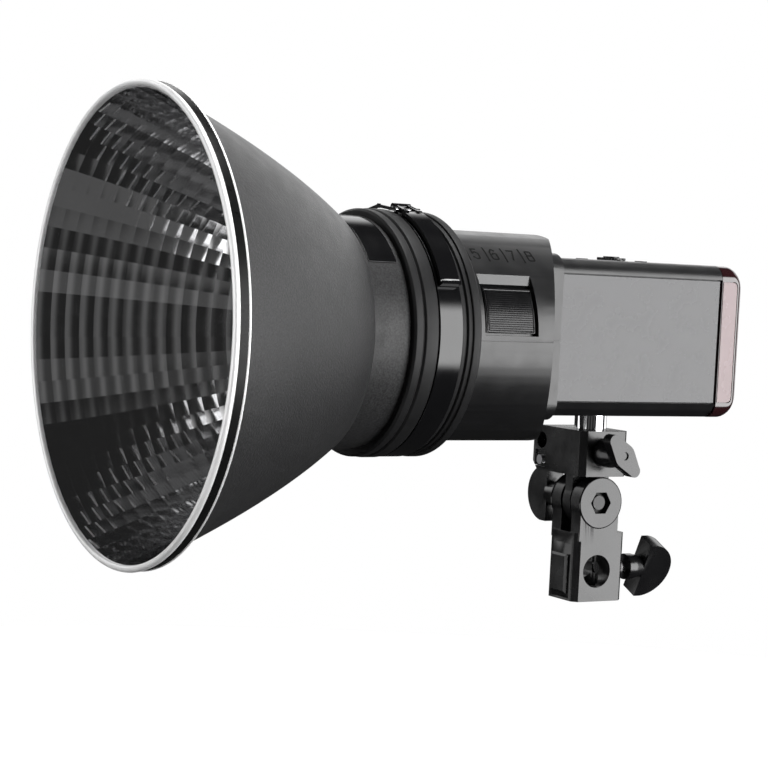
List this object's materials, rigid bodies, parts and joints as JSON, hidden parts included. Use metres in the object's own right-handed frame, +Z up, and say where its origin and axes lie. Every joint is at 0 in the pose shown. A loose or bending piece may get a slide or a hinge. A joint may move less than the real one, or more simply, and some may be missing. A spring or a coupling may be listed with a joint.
{
  "type": "studio flash head with reflector",
  "caption": "Pocket studio flash with a slide-on battery, a scaled adapter and a clamped bowl reflector that zooms on it, on a tilting stand bracket with umbrella channel.",
  "frame": {"origin": "centre of the stand socket's mouth, at the bottom of the bracket", "axes": "+Z up along the stand socket, -Y the way the light shines, +X the side with the spigot knob"},
  "size_m": [0.215, 0.3265, 0.2372],
  "materials": {
    "black_paint": "fine textured powder coat",
    "cast_black": "satin black coat on die cast alloy",
    "black_plastic": "fine spark-eroded texture",
    "gloss_black": "polished",
    "knob_plastic": "satin",
    "collar_rubber": "matt",
    "side_grey": "satin metallic grey",
    "end_brown": "glossy",
    "end_plate": "satin",
    "steel": "turned",
    "chrome": "polished",
    "brass": "turned",
    "glass": "clear",
    "window": "polished",
    "ceramic": "unglazed",
    "led_yellow": "cast resin",
    "circuit": "solder mask",
    "capacitor_blue": "shrink sleeve",
    "bright_aluminium": "bright"
  },
  "bodies": {
    "bracket_base": {"lower_yoke": "cast_black", "tilt_bolt": "chrome", "tilt_nut": "steel", "friction_washers": "steel"},
    "stand_knob": {"stand_screw": "chrome", "stand_knob": "knob_plastic"},
    "tilt_knob": {"tilt_knob": "knob_plastic"},
    "tilt_block": {"spigot_block": "cast_black", "umbrella_plate": "chrome", "umbrella_plate_screw": "steel"},
    "spigot_knob": {"spigot_screw": "chrome", "spigot_knob": "knob_plastic"},
    "lamp_head": {"spigot": "chrome", "tripod_bush": "brass", "top_cover": "black_plastic", "bottom_cover": "black_plastic", "side_panel_right": "side_grey", "side_panel_left": "side_grey", "chassis": "black_plastic", "capacitors": "capacitor_blue", "main_board": "circuit", "control_board": "circuit", "display_window": "window", "sync_sockets": "steel", "head_housing": "black_plastic", "bulb_base": "ceramic", "flash_tube": "glass", "modelling_led": "led_yellow", "protective_glass": "glass", "adapter_upper_shell": "black_plastic", "adapter_lower_shell": "black_plastic", "adapter_front_ring": "black_plastic", "adapter_screws": "steel", "adapter_reflector_disc": "bright_aluminium", "button_spring_right": "steel", "button_spring_left": "steel"},
    "port_flap": {"port_flap": "collar_rubber"},
    "control_dial": {"control_dial": "knob_plastic"},
    "set_button": {"set_button": "knob_plastic"},
    "button_mode": {"button_mode": "knob_plastic"},
    "button_group": {"button_group": "knob_plastic"},
    "button_light": {"button_light": "knob_plastic"},
    "button_power": {"button_power": "knob_plastic"},
    "battery": {"battery_pack": "black_plastic", "battery_end_cap": "end_brown", "battery_side_plates": "end_plate"},
    "battery_latch": {"battery_latch": "knob_plastic"},
    "release_button_right": {"release_button_right": "knob_plastic"},
    "release_button_left": {"release_button_left": "knob_plastic"},
    "reflector": {"reflector_bowl": "black_paint", "collar_rubber": "collar_rubber", "collar_rivets": "bright_aluminium", "label_plate": "gloss_black", "clamp_strap": "gloss_black", "clamp_lever_pin": "chrome"},
    "clamp_lever": {"clamp_lever": "gloss_black"},
    "clamp_link": {"clamp_link": "chrome"}
  },
  "joints": [
    {"name": "tilt", "type": "hinge", "parent": "bracket_base", "child": "tilt_block", "pos_m": [0, 0, 0.049], "axis": [1, 0, 0], "range_deg": [-60, 90]},
    {"name": "stand_knob_turn", "type": "hinge", "parent": "bracket_base", "child": "stand_knob", "pos_m": [0, 0.02, 0.015], "axis": [0, 1, 0], "range_deg": [-360, 0]},
    {"name": "tilt_knob_turn", "type": "hinge", "parent": "bracket_base", "child": "tilt_knob", "pos_m": [-0.02, 0, 0.049], "axis": [1, 0, 0], "range_deg": [0, 360]},
    {"name": "spigot_knob_turn", "type": "hinge", "parent": "tilt_block", "child": "spigot_knob", "pos_m": [0.02, 0, 0.074], "axis": [1, 0, 0], "range_deg": [0, 360]},
    {"name": "swivel", "type": "hinge", "parent": "tilt_block", "child": "lamp_head", "pos_m": [0, 0, 0.075], "axis": [0, 0, 1], "continuous": true},
    {"name": "zoom", "type": "slide", "parent": "lamp_head", "child": "reflector", "axis": [0, 1, 0], "range_m": [-0.025, 0.038]},
    {"name": "clamp_lever_open", "type": "hinge", "parent": "reflector", "child": "clamp_lever", "pos_m": [0.008, -0.12125, 0.188], "axis": [0, -1, 0], "range_deg": [0, 110]},
    {"name": "clamp_link_turn", "type": "hinge", "parent": "clamp_lever", "child": "clamp_link", "pos_m": [0.01368, -0.12125, 0.1866], "axis": [0, -1, 0], "range_deg": [-110, 0]},
    {"name": "battery_slide", "type": "slide", "parent": "lamp_head", "child": "battery", "axis": [0, 1, 0], "range_m": [0, 0.055]},
    {"name": "battery_latch_press", "type": "slide", "parent": "battery", "child": "battery_latch", "axis": [0, 0, 1], "range_m": [0, 0.0012], "stiffness_N_per_m": 600},
    {"name": "release_right_press", "type": "slide", "parent": "lamp_head", "child": "release_button_right", "axis": [-1, 0, 0], "range_m": [0, 0.0025], "stiffness_N_per_m": 800, "deforming": ["button_spring_right"]},
    {"name": "release_left_press", "type": "slide", "parent": "lamp_head", "child": "release_button_left", "axis": [1, 0, 0], "range_m": [0, 0.0025], "stiffness_N_per_m": 800, "deforming": ["button_spring_left"]},
    {"name": "dial_turn", "type": "hinge", "parent": "lamp_head", "child": "control_dial", "pos_m": [0, 0.007, 0.1685], "axis": [0, 0, 1], "continuous": true},
    {"name": "set_press", "type": "slide", "parent": "lamp_head", "child": "set_button", "axis": [0, 0, -1], "range_m": [0, 0.0008], "stiffness_N_per_m": 300},
    {"name": "mode_press", "type": "slide", "parent": "lamp_head", "child": "button_mode", "axis": [0, 0, -1], "range_m": [0, 0.0008], "stiffness_N_per_m": 300},
    {"name": "group_press", "type": "slide", "parent": "lamp_head", "child": "button_group", "axis": [0, 0, -1], "range_m": [0, 0.0008], "stiffness_N_per_m": 300},
    {"name": "light_press", "type": "slide", "parent": "lamp_head", "child": "button_light", "axis": [0, 0, -1], "range_m": [0, 0.0008], "stiffness_N_per_m": 300},
    {"name": "power_press", "type": "slide", "parent": "lamp_head", "child": "button_power", "axis": [0, 0, -1], "range_m": [0, 0.0008], "stiffness_N_per_m": 300},
    {"name": "port_flap_open", "type": "hinge", "parent": "lamp_head", "child": "port_flap", "pos_m": [-0.0241, -0.018, 0.1054], "axis": [0, -1, 0], "range_deg": [0, 90]}
  ],
  "couplings": [
    {"joint": "clamp_link_turn", "follows": "clamp_lever_open", "ratio": -1}
  ]
}
